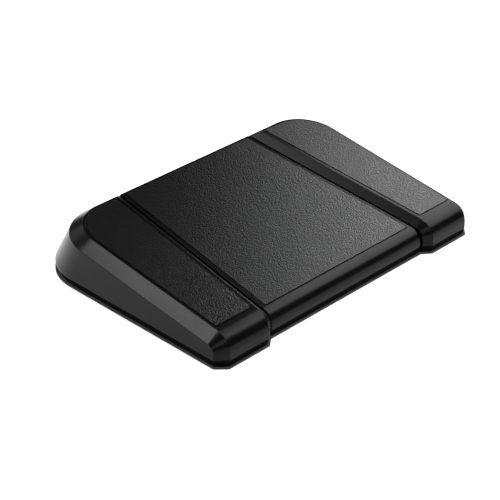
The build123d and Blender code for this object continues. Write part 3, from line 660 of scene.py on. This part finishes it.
class MatSettings(bpy.types.PropertyGroup):
    """The rubber mat under the base."""
    colour: bpy.props.FloatVectorProperty(
        name="Colour", description="Colour of the rubber", subtype="COLOR", size=3, min=0, max=1,
        default=(0.028, 0.028, 0.029))
    wing_root: bpy.props.FloatProperty(
        name="Wing root", description="Distance from the middle to a wing's inner end", default=73.0 * MM,
        unit="LENGTH")
    wing_tip: bpy.props.FloatProperty(
        name="Wing tip", description="Distance from the middle to a wing's front corner", default=79.4 * MM,
        unit="LENGTH")
    wing_setback: bpy.props.FloatProperty(
        name="Wing setback", description="How far the middle of the front lies back", default=5.1 * MM,
        unit="LENGTH")
    corner_cut: bpy.props.FloatProperty(
        name="Corner cut", description="Size of the cut front corners", default=7.0 * MM, unit="LENGTH")
    corner_radius: bpy.props.FloatProperty(
        name="Corner radius", description="Radius of the rear corners", default=40.4 * MM, unit="LENGTH")
    corner_steps: bpy.props.IntProperty(
        name="Corner steps", description="Flats round a rear corner", default=32, min=4)
    edge_round: bpy.props.FloatProperty(
        name="Edge round", description="Radius of the mat's edges", default=0.22 * MM, unit="LENGTH")
    border: bpy.props.FloatProperty(
        name="Border", description="Width of the plain border underneath", default=5.0 * MM, unit="LENGTH")
    field_depth: bpy.props.FloatProperty(
        name="Field depth", description="Depth of the field with the studs", default=0.5 * MM, unit="LENGTH")
    stud_radius: bpy.props.FloatProperty(
        name="Stud radius", description="Radius of a stud", default=1.5 * MM, unit="LENGTH")
    stud_pitch: bpy.props.FloatProperty(
        name="Stud pitch", description="Distance between studs", default=6.0 * MM, unit="LENGTH")


class InletSettings(bpy.types.PropertyGroup):
    """The contacts in the inlet."""
    contacts: bpy.props.IntProperty(name="Contacts", description="Contacts in one row", default=12, min=2)
    pitch: bpy.props.FloatProperty(
        name="Pitch", description="Distance between contacts", default=0.5 * MM, unit="LENGTH")
    width: bpy.props.FloatProperty(
        name="Width", description="Width of a contact", default=0.18 * MM, unit="LENGTH")
    length: bpy.props.FloatProperty(
        name="Length", description="Length of a contact", default=3.0 * MM, unit="LENGTH")
    thickness: bpy.props.FloatProperty(
        name="Thickness", description="Thickness of a contact", default=0.06 * MM, unit="LENGTH")
    sink: bpy.props.FloatProperty(
        name="Sink", description="How deep a contact sits in the tongue", default=0.01 * MM, unit="LENGTH")
    plate_half: bpy.props.FloatProperty(
        name="Plate half", description="Half the thickness of the tongue", default=0.35 * MM, unit="LENGTH")
    front_gap: bpy.props.FloatProperty(
        name="Front gap", description="Distance from the tongue's end to the contacts", default=0.25 * MM,
        unit="LENGTH")


class StageSettings(bpy.types.PropertyGroup):
    """The floor, lights and camera."""
    floor_colour: bpy.props.FloatVectorProperty(
        name="Floor colour", description="Colour of the floor", subtype="COLOR", size=3, min=0, max=1,
        default=(0.86, 0.86, 0.86))
    floor_width: bpy.props.FloatProperty(
        name="Floor width", description="Width of the floor", default=8.0, unit="LENGTH")
    sky: bpy.props.FloatProperty(
        name="Room light", description="Brightness of the room around the object", default=0.0, min=0)
    light_level: bpy.props.FloatProperty(
        name="Light level", description="Factor on the power of every light", default=1.0, min=0)
    turn: bpy.props.FloatProperty(
        name="Camera turn", description="Direction of the camera, from the front towards the left",
        default=math.radians(45.447), subtype="ANGLE", unit="ROTATION")
    rise: bpy.props.FloatProperty(
        name="Camera rise", description="Height of the camera as an angle",
        default=math.radians(29.884), subtype="ANGLE", unit="ROTATION")
    distance: bpy.props.FloatProperty(
        name="Camera distance", description="Distance from the middle of the object", default=1.1735,
        unit="LENGTH")
    lens: bpy.props.FloatProperty(
        name="Lens", description="Focal length in millimetres", default=124.52, min=1)
    aim_right: bpy.props.FloatProperty(
        name="Aim right", description="How far the camera turns to its right", default=-0.002759,
        subtype="ANGLE", unit="ROTATION")
    aim_up: bpy.props.FloatProperty(
        name="Aim up", description="How far the camera turns up", default=-0.01604,
        subtype="ANGLE", unit="ROTATION")


SETTINGS = {
    "foot_switch_cap": CapSettings,
    "foot_switch_tread": TreadSettings,
    "foot_switch_mat": MatSettings,
    "foot_switch_inlet": InletSettings,
    "foot_switch_stage": StageSettings,
}


# Operators

class FOOTSWITCH_OT_caps(bpy.types.Operator):
    """Gives the three caps their satin moulding"""
    bl_idname = "footswitch.caps"
    bl_label = "Caps"

    def execute(self, context):
        moulding = satin_moulding(context.scene.foot_switch_cap)
        for side in SIDES:
            dress(f"{side}_cap", moulding)
        return {"FINISHED"}


class FOOTSWITCH_OT_treads(bpy.types.Operator):
    """Gives the three treads their pebble grain, with painted light on the pebbles"""
    bl_idname = "footswitch.treads"
    bl_label = "Treads"

    def execute(self, context):
        moulding = pebbled_moulding_with_painted_light(context.scene.foot_switch_tread)
        for side in SIDES:
            dress(f"{side}_tread", moulding)
        return {"FINISHED"}


class FOOTSWITCH_OT_mat(bpy.types.Operator):
    """Makes the rubber mat and the studs under it"""
    bl_idname = "footswitch.mat"
    bl_label = "Mat"

    def execute(self, context):
        mat = context.scene.foot_switch_mat
        rubber = matt_rubber("mat_rubber", mat.colour)
        body = mesh_object("rubber_mat", mat_mesh(mat), smooth_angle=SMOOTH_ANGLE)
        body.data.materials.append(rubber)
        low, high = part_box("anti_slip_mat")
        width = (high[0] - low[0]) * math.sqrt(2)
        studs = grown("mat_studs", field_mesh(mat), stud_growth(), {
            "Width": width, "Columns": int(width / mat.stud_pitch), "Radius": mat.stud_radius,
            "Height": mat.field_depth, "Centre": (0.0, 0.0, 0.0), "Material": rubber})
        if not studs.data.polygons:
            raise RuntimeError("no studs under the mat")
        for piece in (body, studs):
            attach(piece, "base")
        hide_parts("anti_slip_mat")
        return {"FINISHED"}


class FOOTSWITCH_OT_tray(bpy.types.Operator):
    """Gives the tray and the port housing their matt moulding, darkened as painted shade"""
    bl_idname = "footswitch.tray"
    bl_label = "Tray"

    def execute(self, context):
        moulding = tray_moulding_with_painted_shade()
        dress("base_tray", moulding)
        dress("port_housing", moulding)
        return {"FINISHED"}


class FOOTSWITCH_OT_hardware(bpy.types.Operator):
    """Gives the rods, clips, springs, screws and ballast their metals"""
    bl_idname = "footswitch.hardware"
    bl_label = "Hardware"

    def execute(self, context):
        rod = drawn_steel("ground_rod", ROD_STEEL, roughness=0.18, stretch=(0.1, 1.0, 1.0))
        wire = drawn_steel("spring_wire", WIRE_STEEL, roughness=0.28, stretch=(1.0, 1.0, 0.25))
        plate = drawn_steel("rolled_plate", PLATE_STEEL, roughness=0.34, stretch=(0.06, 1.0, 1.0))
        zinc = zinc_plate()
        for side in SIDES:
            dress(f"{side}_hinge_rod", rod)
            dress(f"{side}_return_springs", wire)
            dress(f"{side}_switch_spring", wire)
        dress("hinge_clips", wire)
        dress("ballast_plate", plate)
        dress("ballast_screws", zinc)
        dress("board_screws", zinc)
        return {"FINISHED"}


class FOOTSWITCH_OT_switches(bpy.types.Operator):
    """Gives the key switches, strikers and bumpers their finishes"""
    bl_idname = "footswitch.switches"
    bl_label = "Switches"

    def execute(self, context):
        housing = moulded_resin("switch_nylon", HOUSING_BLACK, roughness=0.45)
        stem = moulded_resin("stem_nylon", STEM_WHITE, roughness=0.3)
        striker = matt_rubber("striker_rubber", STRIKER_BLACK)
        for side in SIDES:
            dress(f"{side}_switch_housing", housing)
            dress(f"{side}_switch_stem", stem)
            dress(f"{side}_striker", striker)
        dress("stop_bumpers", clear_silicone())
        return {"FINISHED"}


class FOOTSWITCH_OT_board(bpy.types.Operator):
    """Gives the circuit board, its parts and the inlet their finishes"""
    bl_idname = "footswitch.board"
    bl_label = "Board"

    def execute(self, context):
        dress("main_board", board_mask())
        chip = moulded_resin("chip_resin", CHIP_BLACK, roughness=0.55)
        for node in ("controller_chip", "voltage_regulator", "board_resistors", "usb_inlet_tongue"):
            dress(node, chip)
        ceramic = moulded_resin("capacitor_ceramic", CERAMIC_BROWN, roughness=0.4)
        dress("board_capacitors", ceramic)
        can = drawn_steel("crystal_can", CAN_STEEL, roughness=0.25, stretch=(1.0, 0.2, 1.0))
        dress("board_crystal", can)
        nickel = drawn_steel("inlet_nickel", INLET_NICKEL, roughness=0.22, stretch=(1.0, 0.15, 1.0))
        dress("usb_inlet_shell", nickel)
        return {"FINISHED"}


class FOOTSWITCH_OT_contacts(bpy.types.Operator):
    """Makes the two rows of contacts on the inlet's tongue"""
    bl_idname = "footswitch.contacts"
    bl_label = "Inlet contacts"

    def execute(self, context):
        inlet = context.scene.foot_switch_inlet
        low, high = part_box("usb_inlet_tongue")
        middle = (low[2] + high[2]) / 2
        gold = gold_contact()
        span = inlet.pitch * (inlet.contacts - 1)
        y = high[1] - inlet.front_gap - inlet.length / 2
        for name, side in (("upper", 1), ("lower", -1)):
            z = middle + side * (inlet.plate_half + inlet.thickness / 2 - inlet.sink)
            empty = bpy.data.meshes.new("contact_start")
            row = grown(f"inlet_contacts_{name}", empty, contact_growth(), {
                "Count": inlet.contacts, "Start": (-span / 2, y, z), "Step": (inlet.pitch, 0.0, 0.0),
                "Size": (inlet.width, inlet.length, inlet.thickness), "Material": gold})
            if not row.data.polygons:
                raise RuntimeError("no contacts in the inlet")
            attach(row, "base")
        return {"FINISHED"}


class FOOTSWITCH_OT_stage(bpy.types.Operator):
    """Makes the floor, the soft studio lights and the camera"""
    bl_idname = "footswitch.stage"
    bl_label = "Stage"

    def execute(self, context):
        stage = context.scene.foot_switch_stage
        studio_floor(stage)
        context.scene.world = studio_room(stage.sky)
        for name, (place, target, size, power) in STUDIO_LIGHTS.items():
            soft_light(name, place, target, size, power * stage.light_level)
        context.scene.camera = studio_camera(stage)
        context.scene.view_settings.view_transform = "Standard"
        context.scene.view_settings.look = "None"
        return {"FINISHED"}


OPERATORS = (
    FOOTSWITCH_OT_caps,
    FOOTSWITCH_OT_treads,
    FOOTSWITCH_OT_mat,
    FOOTSWITCH_OT_tray,
    FOOTSWITCH_OT_hardware,
    FOOTSWITCH_OT_switches,
    FOOTSWITCH_OT_board,
    FOOTSWITCH_OT_contacts,
    FOOTSWITCH_OT_stage,
)


class FOOTSWITCH_PT_panel(bpy.types.Panel):
    """Lists the foot switch's pieces and settings"""
    bl_idname = "FOOTSWITCH_PT_panel"
    bl_label = "Foot Switch"
    bl_space_type = "VIEW_3D"
    bl_region_type = "UI"
    bl_category = "Foot Switch"

    def draw(self, context):
        column = self.layout.column()
        for operator in OPERATORS:
            column.operator(operator.bl_idname)
        for name, group in SETTINGS.items():
            box = self.layout.box()
            for label in group.__annotations__:
                box.prop(getattr(context.scene, name), label)


def register():
    for group in SETTINGS.values():
        bpy.utils.register_class(group)
    for name, group in SETTINGS.items():
        setattr(bpy.types.Scene, name, bpy.props.PointerProperty(type=group))
    for operator in OPERATORS:
        bpy.utils.register_class(operator)
    bpy.utils.register_class(FOOTSWITCH_PT_panel)


def unregister():
    bpy.utils.unregister_class(FOOTSWITCH_PT_panel)
    for operator in reversed(OPERATORS):
        bpy.utils.unregister_class(operator)
    for name in SETTINGS:
        delattr(bpy.types.Scene, name)
    for group in reversed(list(SETTINGS.values())):
        bpy.utils.unregister_class(group)


def main():
    register()
    bpy.ops.footswitch.caps()
    bpy.ops.footswitch.treads()
    bpy.ops.footswitch.mat()
    bpy.ops.footswitch.tray()
    bpy.ops.footswitch.hardware()
    bpy.ops.footswitch.switches()
    bpy.ops.footswitch.board()
    bpy.ops.footswitch.contacts()
    bpy.ops.footswitch.stage()


if __name__ == "__main__":
    main()
